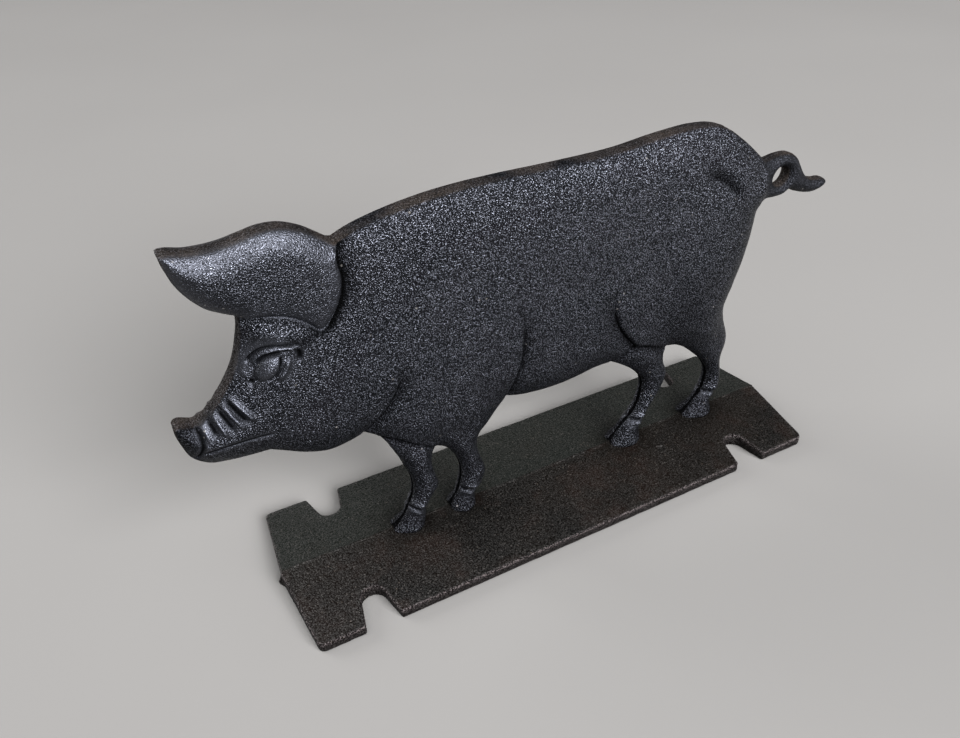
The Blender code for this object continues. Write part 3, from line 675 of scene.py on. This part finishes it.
def make_figure():
    """The pig: a relief, the same relief mirrored, and the band of its edge between them."""
    loops = [outline_loop(RIM_STEP), hole_loop()]
    inner = thin_out(figure_points(loops), np.vstack(loops), LEAST_GAP)
    flat, faces = triangulate(loops, inner)
    half, distance, painted_shade, calm = half_thickness(flat)
    count = len(flat)
    rim_count = sum(len(loop) for loop in loops)
    drop = np.where(flat[:, 1] < SOLE + 0.01, ROOF_SLOPE * half, 0.0)
    near = np.stack([flat[:, 0], -half, flat[:, 1] - drop], axis=1)
    far = near * (1, -1, 1)
    verts = np.vstack([near, far, *figure_edge(flat[:rim_count], half[:rim_count], loops)])
    all_faces = [*faces.tolist(), *(faces[:, ::-1] + count).tolist()]
    row_starts = [0, *(2 * count + rim_count * k for k in range(len(FIGURE_ROWS))), count]
    first = 0
    for loop in loops:
        all_faces += band_faces(row_starts, first, len(loop))
        first += len(loop)
    on_edge = len(verts) - 2 * count
    rim = np.exp(-((distance / 0.6) ** 2))
    brown = blend(verts[:, 2], *BROWN_RIM)
    attributes = {
        "edge": np.concatenate([rim, rim, np.ones(on_edge)]) * brown,
        # painted shade on both faces, and on the edge band below the brown rim
        "painted_shade": np.concatenate([painted_shade, painted_shade, 0.9 * (1 - brown[2 * count :])]),
        "calm": np.concatenate([calm, calm, np.zeros(on_edge)]),
    }
    verts[:, 0] += FIGURE_X
    piece = new_piece("pig_relief", verts, all_faces, attributes)
    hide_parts("pig_figure")
    return piece


def arc(centre, radius, start, end, steps):
    """Points on an arc, angles in degrees."""
    turns = [(start + (end - start) * k / steps) * pi / 180 for k in range(steps + 1)]
    return [(centre[0] + radius * cos(a), centre[1] + radius * sin(a)) for a in turns]


def slot_outline(centre_x):
    """One slot in the edge at -Y, from its left mouth corner to its right one."""
    edge = -HALF_WIDTH
    r = SLOT_MOUTH_RADIUS
    half = SLOT_MOUTH / 2
    bottom = (centre_x, edge + SLOT_DEPTH - SLOT_RADIUS)
    left = arc((centre_x - half - r, edge + r), r, -90, -SLOT_TILT, 4)
    right = arc((centre_x + half + r, edge + r), r, 180 + SLOT_TILT, 270, 4)
    return left + arc(bottom, SLOT_RADIUS, 180 - SLOT_TILT, SLOT_TILT, 16) + right


def plate_outline(step):
    """The plate's outline in plan, counter-clockwise from the left end's nose."""
    half_length, half_width, r = HALF_LENGTH, HALF_WIDTH, CORNER_RADIUS
    near = [(-half_length - END_NOSE, 0)]
    near += arc((-half_length + r, -half_width + r), r, 180 + END_TILT, 270, 6)
    for centre_x in SLOT_CENTRES:
        near += slot_outline(centre_x)
    near += arc((half_length - r, -half_width + r), r, 270, 360 - END_TILT, 6)
    near.append((half_length + END_NOSE, 0))
    far = [(x, -y) for x, y in near[-2:0:-1]]
    corners = np.array(near + far)
    out = []
    for a, b in zip(corners, np.roll(corners, -1, axis=0)):
        count = max(1, round(float(np.linalg.norm(b - a)) / step))
        out += [a + (b - a) * k / count for k in range(count)]
    return np.array(out)


def hoof_distance(points):
    """Distance in plan from the nearest hoof's sole, an oblong with round corners."""
    half_width, corner = 4.5, 3
    out = np.full(len(points), 1e9)
    for name, line in OUTLINE.items():
        if not name.endswith("sole"):
            continue
        (x1, _), (x0, _) = line
        middle, reach = (x0 + x1) / 2 + FIGURE_X, (x1 - x0) / 2
        dx = np.maximum(np.abs(points[:, 0] - middle) - reach + corner, 0)
        dy = np.maximum(np.abs(points[:, 1]) - half_width + corner, 0)
        out = np.minimum(out, np.maximum(np.hypot(dx, dy) - corner, 0))
    return out


def plate_top(points, distance):
    """Height of the plate's top at each (x, y)."""
    x, y = points.T
    height = RIDGE - ROOF_SLOPE * np.abs(y)
    along_ridge = np.stack([x, 0 * x], axis=1)
    wander = 0.35 * lumps(along_ridge, 9, 3.3)
    strength = 0.55 + 0.5 * lumps(along_ridge, 5, 8.8)
    height += RIDGE_LINE * strength * np.exp(-(((y - wander) / RIDGE_LINE_WIDTH) ** 2))
    height += HOOF_FILLET * np.exp(-hoof_distance(points) / HOOF_FILLET_WIDTH)
    height += 0.1 * lumps(points, 11, 2.2) + 0.06 * lumps(points, 4, 6.6)
    at_x, at_y, long, wide = BLISTER
    ring = np.hypot((x - at_x) / long, (y - at_y) / wide)
    height += 0.3 * np.exp(-(((ring - 1) / 0.35) ** 2)) - 0.35 * np.exp(-((ring / 0.7) ** 2))
    for at_x, at_y, wide, rise in DROPS:
        height += rise * np.exp(-((x - at_x) ** 2 + (y - at_y) ** 2) / wide**2)
    return height - round_drop(distance, PLATE_RIM_RADIUS)


def plate_points(loop):
    """Where the plate's top is sampled: rings at its rim, and finer at its ridge and hooves."""
    low, high = loop.min(0), loop.max(0)
    strip = (low[0], -RIDGE_STRIP_HALF, high[0], RIDGE_STRIP_HALF, RIDGE_PITCH)
    points = lattice(*low, *high, PLATE_PITCH)
    points = points[inside(points, loop)]
    for zone in [*PLATE_ZONES, strip]:
        points = points[~in_box(points, zone)]
    for zone in PLATE_ZONES:
        more = lattice(*zone)
        points = np.vstack([points, more[~in_box(more, strip)]])
    points = np.vstack([points, lattice(*strip)])
    points = points[inside(points, loop)]
    points = points[nearest(points, closed(loop))[0] > PLATE_INSETS[-1] + 0.4]
    return np.vstack([rings(loop, PLATE_INSETS, [loop]), points])


def plate_edge(loop, rim_top):
    """The rows of the plate's edge from its top down to its underside."""
    outward = -to_the_right(loop)
    edge_noise = lumps(loop, 3.5, 4.4)
    rows = []
    for share, push in PLATE_ROWS:
        out = loop + outward * (push + 0.12 * edge_noise - 0.12)[:, None]
        rows.append(np.stack([out[:, 0], out[:, 1], rim_top * share], axis=1))
    return rows


def make_plate():
    """The plate: a low roof over a flat underside, with a band of edge round it."""
    loop = plate_outline(PLATE_STEP)[::-1]
    flat, faces = triangulate([loop], thin_out(plate_points(loop), loop, LEAST_GAP))
    count, rim_count = len(flat), len(loop)
    distance = nearest(flat, closed(loop))[0]
    top = np.stack([flat[:, 0], flat[:, 1], plate_top(flat, distance)], axis=1)
    verts = np.vstack([top, *plate_edge(loop, top[:rim_count, 2])])
    row_starts = [0, *(count + rim_count * k for k in range(len(PLATE_ROWS)))]
    all_faces = faces.tolist() + band_faces(row_starts, 0, rim_count)
    x, y, z = verts.T
    stub = np.exp(-((y / 1.2) ** 2) - ((z - GATE_HEIGHT) / 2) ** 2) * (x < loop[:, 0].min() + 0.6)
    verts[:, 0] -= GATE_STUB * stub
    under = verts[row_starts[-1] :, :2]
    all_faces += (triangulate([under], np.empty((0, 2)))[1] + row_starts[-1]).tolist()
    below = np.zeros(len(verts) - count)
    arris = np.concatenate([np.exp(-((distance / 0.5) ** 2)), below])
    arris[count : count + rim_count] = 0.2
    attributes = {
        "edge": np.concatenate([np.exp(-distance / 1.0), below + 1]),
        "arris": arris,
        # where the far half's painted reflection goes
        "far_half": blend(verts[:, 1], -0.3, 0.5),
        # painted shade round the hooves
        "painted_shade": 0.9 * np.exp(-hoof_distance(verts[:, :2]) / 5),
    }
    piece = new_piece("press_base", verts, all_faces, attributes)
    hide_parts("press_plate")
    return piece


class Shader:
    """A material's node tree, built from small steps."""

    def __init__(self, name):
        self.material = bpy.data.materials.new(name)
        self.material.use_nodes = True
        self.tree = self.material.node_tree
        self.surface = self.tree.nodes["Principled BSDF"]
        self.place = self.add("ShaderNodeTexCoord").outputs["Object"]

    def add(self, kind, **settings):
        """A new node with its settings."""
        node = self.tree.nodes.new(kind)
        for key, value in settings.items():
            setattr(node, key, value)
        return node

    def put(self, socket, value):
        """Links a socket to an output, or sets it to a constant."""
        if isinstance(value, bpy.types.NodeSocket):
            self.tree.links.new(value, socket)
        else:
            socket.default_value = value

    def noise(self, size_mm, detail=2.0, roughness=0.5):
        """Noise of 0 to 1 fixed to the object, with lumps of about this size."""
        node = self.add("ShaderNodeTexNoise")
        self.put(node.inputs["Vector"], self.place)
        node.inputs["Scale"].default_value = 1000 / size_mm
        node.inputs["Detail"].default_value = detail
        node.inputs["Roughness"].default_value = roughness
        return node.outputs["Fac"]

    def cells(self, size_mm, feature="SMOOTH_F1"):
        """The distance to the nearest of many scattered points."""
        node = self.add("ShaderNodeTexVoronoi", feature=feature)
        self.put(node.inputs["Vector"], self.place)
        node.inputs["Scale"].default_value = 1000 / size_mm
        return node.outputs["Distance"]

    def attribute(self, name):
        """A float attribute of the mesh."""
        return self.add("ShaderNodeAttribute", attribute_name=name).outputs["Fac"]

    def span(self, value, low, high, to_low=0.0, to_high=1.0):
        """Value rescaled from one range to another, held at the ends."""
        node = self.add("ShaderNodeMapRange")
        self.put(node.inputs["Value"], value)
        node.inputs["From Min"].default_value = low
        node.inputs["From Max"].default_value = high
        node.inputs["To Min"].default_value = to_low
        node.inputs["To Max"].default_value = to_high
        return node.outputs["Result"]

    def specks(self, spacing_mm, size, cluster_mm, clusters, share):
        """Small specks on a grid of cells, in clusters. Size and clusters are each two limits."""
        dots = self.span(self.cells(spacing_mm, "F1"), *size)
        return self.times(self.times(dots, self.span(self.noise(cluster_mm, 1), *clusters)), share)

    def times(self, a, b):
        """One value multiplied by another."""
        return self.maths("MULTIPLY", a, b)

    def maths(self, operation, a, b):
        """Any other sum of two values."""
        node = self.add("ShaderNodeMath", operation=operation)
        self.put(node.inputs[0], a)
        self.put(node.inputs[1], b)
        return node.outputs["Value"]

    def mix(self, share, a, b):
        """Colour a, with this share of colour b."""
        node = self.add("ShaderNodeMix", data_type="RGBA")
        self.put(node.inputs["Factor"], share)
        self.put(node.inputs["A"], a)
        self.put(node.inputs["B"], b)
        return node.outputs["Result"]

    def bump(self, height, depth_mm, normal=None):
        """A normal bent by a height of 0 to 1, on top of another normal if there is one."""
        node = self.add("ShaderNodeBump")
        self.put(node.inputs["Height"], height)
        node.inputs["Distance"].default_value = depth_mm * MM
        node.inputs["Strength"].default_value = 1.0
        if normal is not None:
            self.put(node.inputs["Normal"], normal)
        return node.outputs["Normal"]


def figure_iron():
    """Satin black iron with a fine orange-peel grain, brown where the edges have worn, with painted glints
    on the grain's tops and painted shade in its creases and shaded places.
    """
    black, blue_black = (0.0009, 0.001, 0.0012, 1), (0.0016, 0.0016, 0.0019, 1)
    brown, worn_brown = (0.0045, 0.0038, 0.0034, 1), (0.016, 0.013, 0.0115, 1)
    painted_glint, shade, dust = (0.0035, 0.0037, 0.0046, 1), (0.0003, 0.0003, 0.0003, 1), (0.1, 0.095, 0.09, 1)
    shader = Shader("satin_cast_iron")
    edge = shader.attribute("edge")
    patches = shader.noise(22, 3)
    painted_shade = shader.attribute("painted_shade")
    calm = shader.attribute("calm")
    grain = shader.noise(0.5, 1.0, 0.5)
    cell = shader.cells(0.45)
    fine = shader.noise(0.4, 1.0)
    rounded = shader.times(cell, cell)
    height = shader.maths("SUBTRACT", shader.times(grain, 0.8), rounded)

    base = shader.mix(shader.span(patches, 0.35, 0.65), black, blue_black)
    # painted glints: the grain's tops lighter than the black between them
    base = shader.mix(shader.span(height, 0.2, 0.5, 0, 0.7), base, painted_glint)
    # painted shade in the folds, grooves, hooves, tail, nose, lower ham and the low edge band
    base = shader.mix(shader.times(painted_shade, 0.9), base, shade)
    rim = shader.mix(shader.span(grain, 0.4, 0.65), brown, worn_brown)
    wear = shader.times(edge, shader.span(patches, 0.3, 0.6))
    colour = shader.mix(shader.span(wear, 0.2, 0.9), base, rim)
    specks = shader.specks(4.5, (0.11, 0.06), 9, (0.5, 0.62), 0.5)
    shader.put(shader.surface.inputs["Base Color"], shader.mix(specks, colour, dust))

    dull = shader.maths("MAXIMUM", edge, painted_shade)
    rough = shader.maths("ADD", shader.span(fine, 0.3, 0.7, 0.34, 0.44), shader.times(dull, 0.28))
    shader.put(shader.surface.inputs["Roughness"], rough)
    # only the tops of the grain shine, and smooth places
    peak = shader.maths("MAXIMUM", shader.span(height, 0.22, 0.52), shader.times(calm, 0.42))
    shine = shader.span(peak, 0, 1, 0.03, 0.95)
    shine = shader.times(shine, shader.span(edge, 0, 1, 1.0, 0.25))
    # the painted shade also takes most of the shine away
    shine = shader.times(shine, shader.span(painted_shade, 0, 0.9, 1.0, 0.02))
    shader.put(shader.surface.inputs["Specular IOR Level"], shine)
    shader.surface.inputs["IOR"].default_value = 1.6
    shader.surface.inputs["Specular Tint"].default_value = (0.77, 0.82, 1, 1)
    normal = shader.bump(shader.times(height, shader.span(calm, 0, 1, 1.0, 0.4)), 0.47)
    shader.put(shader.surface.inputs["Normal"], shader.bump(fine, 0.08, normal))
    return shader.material


def plate_iron():
    """Smoother, browner iron with dust specks and rough, bright-worn edges, a painted reflection on its far
    half, painted glints on its grain's crests and painted shade round the hooves.
    """
    black, brown_black = (0.0006, 0.0005, 0.0004, 1), (0.0016, 0.0011, 0.0008, 1)
    rust, painted_reflection = (0.0035, 0.0018, 0.0013, 1), (0.0025, 0.0032, 0.0027, 1)
    edge_dark, edge_light = (0.001, 0.0007, 0.0007, 1), (0.0035, 0.0026, 0.0026, 1)
    bare, dust, painted_glint = (0.04, 0.033, 0.034, 1), (0.06, 0.05, 0.042, 1), (0.034, 0.03, 0.027, 1)
    shader = Shader("brown_cast_iron")
    edge = shader.attribute("edge")
    patches = shader.noise(30, 3)
    painted_shade = shader.attribute("painted_shade")
    grain = shader.noise(0.62, 2.0, 0.55)
    fine = shader.noise(0.4, 1.0)

    base = shader.mix(shader.span(patches, 0.35, 0.65), black, brown_black)
    base = shader.mix(shader.span(shader.noise(14, 3), 0.52, 0.7, 0, 0.6), base, rust)
    # painted reflection: the far half of the roof, which slopes away, greener and lighter
    base = shader.mix(shader.times(shader.attribute("far_half"), 0.75), base, painted_reflection)
    rim = shader.mix(shader.span(grain, 0.4, 0.68), edge_dark, edge_light)
    rubbed = shader.times(shader.attribute("arris"), shader.span(grain, 0.48, 0.62))
    rim = shader.mix(rubbed, rim, bare)
    colour = shader.mix(shader.span(edge, 0.35, 0.95), base, rim)
    colour = shader.mix(shader.specks(2.2, (0.14, 0.06), 5, (0.45, 0.65), 0.6), colour, dust)
    # painted glints: lighter crests of the grain
    crest = shader.times(shader.span(grain, 0.6, 0.72), shader.span(fine, 0.45, 0.6))
    colour = shader.mix(shader.times(crest, 0.7), colour, painted_glint)
    # painted shade round the hooves, which also takes the shine away
    colour = shader.mix(shader.times(painted_shade, 0.8), colour, black)
    shader.put(shader.surface.inputs["Base Color"], colour)

    rough = shader.maths("ADD", shader.span(fine, 0.3, 0.7, 0.36, 0.46), shader.times(edge, 0.15))
    shader.put(shader.surface.inputs["Roughness"], rough)
    shine = shader.span(grain, 0.38, 0.65, 0.03, 0.34)
    shine = shader.times(shine, shader.span(edge, 0, 1, 1, 0.45))
    shine = shader.times(shine, shader.span(painted_shade, 0, 1, 1, 0.1))
    shader.put(shader.surface.inputs["Specular IOR Level"], shine)
    shader.surface.inputs["IOR"].default_value = 1.5
    normal = shader.bump(shader.times(grain, shader.span(edge, 0, 1, 0.38, 1.2)), 0.7)
    shader.put(shader.surface.inputs["Normal"], shader.bump(fine, 0.06, normal))
    return shader.material


def floor_material():
    """A matt grey that strong lights turn pale."""
    shader = Shader("pale_floor")
    tone = shader.mix(shader.noise(300, 2), (0.087, 0.0856, 0.0848, 1), (0.095, 0.0935, 0.0926, 1))
    shader.put(shader.surface.inputs["Base Color"], tone)
    shader.surface.inputs["Roughness"].default_value = 0.8
    shader.surface.inputs["Specular IOR Level"].default_value = 0.0
    return shader.material


# The floor reaches this far each way, and lies just under the plate, in metres.
FLOOR_REACH, FLOOR_DROP = 4.0, 0.0001


def make_floor():
    """One large square under the press."""
    mesh = bpy.data.meshes.new("floor")
    corners = [(x * FLOOR_REACH, y * FLOOR_REACH, 0) for x, y in ((-1, -1), (1, -1), (1, 1), (-1, 1))]
    mesh.from_pydata(corners, [], [(0, 1, 2, 3)])
    mesh.materials.append(floor_material())
    floor = bpy.data.objects.new("floor", mesh)
    floor.location.z = -FLOOR_DROP
    bpy.context.scene.collection.objects.link(floor)


# Area lights as (name, place, target, size, power in watts, colour), in metres.
LIGHTS = [
    ("key", (1.1, -4.4, 3.0), (0, 0, 0.06), (3.3, 3.0), 1980, (1.0, 0.99, 0.98)),
    ("front_card", (1.4, -3.7, 0.9), (0.2, 0, 0.3), (5.0, 1.8), 95, (0.98, 0.98, 1.0)),
    ("overhead", (-0.8, -0.3, 3.0), (0, 0, 0.06), (2.6, 2.6), 150, (1.0, 0.99, 0.98)),
    ("rear_fill", (-3.1, 3.1, 2.2), (0, 0, 0.06), (3.0, 2.4), 430, (1.0, 0.99, 0.97)),
    ("back_card", (0.4, 1.9, 0.75), (0, 0, 0.1), (3.6, 1.5), 6, (1.0, 1.0, 0.98)),
]
WORLD_COLOUR, WORLD_STRENGTH = (0.95, 0.94, 0.93, 1), 0.12


def add_area_light(name, place, target, size, power, colour):
    """A rectangular light that faces its target and isn't seen itself."""
    light = bpy.data.lights.new(name, "AREA")
    light.shape = "RECTANGLE"
    light.size, light.size_y = size
    light.energy = power
    light.color = colour
    lamp = bpy.data.objects.new(name, light)
    lamp.location = place
    lamp.visible_camera = False
    lamp.rotation_mode = "QUATERNION"
    lamp.rotation_quaternion = (Vector(target) - Vector(place)).to_track_quat("-Z", "Y")
    bpy.context.scene.collection.objects.link(lamp)


def light_the_scene():
    """The world's faint light and the area lights."""
    world = bpy.data.worlds.new("studio")
    world.use_nodes = True
    background = world.node_tree.nodes["Background"]
    background.inputs["Color"].default_value = WORLD_COLOUR
    background.inputs["Strength"].default_value = WORLD_STRENGTH
    bpy.context.scene.world = world
    for light in LIGHTS:
        add_area_light(*light)
    bpy.context.scene.view_settings.view_transform = "Standard"


# The camera: where it stands in metres, its compass and downward angles and its roll in degrees,
# and its lens and sensor in millimetres.
CAMERA_PLACE = (-0.13845, -0.23141, 0.26287)
CAMERA_AZIMUTH, CAMERA_DOWN, CAMERA_ROLL = 25.36, 36.31, 3.02
CAMERA_LENS, CAMERA_SENSOR = 30.56, 36


def make_camera():
    """The camera at the photograph's viewing angle."""
    azimuth, down, roll = (a * pi / 180 for a in (CAMERA_AZIMUTH, CAMERA_DOWN, CAMERA_ROLL))
    forward = Vector((sin(azimuth) * cos(down), cos(azimuth) * cos(down), -sin(down)))
    level = Vector((cos(azimuth), -sin(azimuth), 0))
    below = forward.cross(level)
    right = cos(roll) * level + sin(roll) * below
    under = cos(roll) * below - sin(roll) * level
    camera = bpy.data.objects.new("camera", bpy.data.cameras.new("camera"))
    camera.data.sensor_width = CAMERA_SENSOR
    camera.data.lens = CAMERA_LENS
    camera.data.clip_start = 0.01
    turn = Matrix((right, -under, -forward)).transposed()
    camera.matrix_world = Matrix.Translation(CAMERA_PLACE) @ turn.to_4x4()
    bpy.context.scene.collection.objects.link(camera)
    bpy.context.scene.camera = camera


make_camera()
make_floor()
light_the_scene()
figure = make_figure()
figure.data.materials.append(figure_iron())
base = make_plate()
base.data.materials.append(plate_iron())
for piece in (figure, base):
    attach(piece, "root")
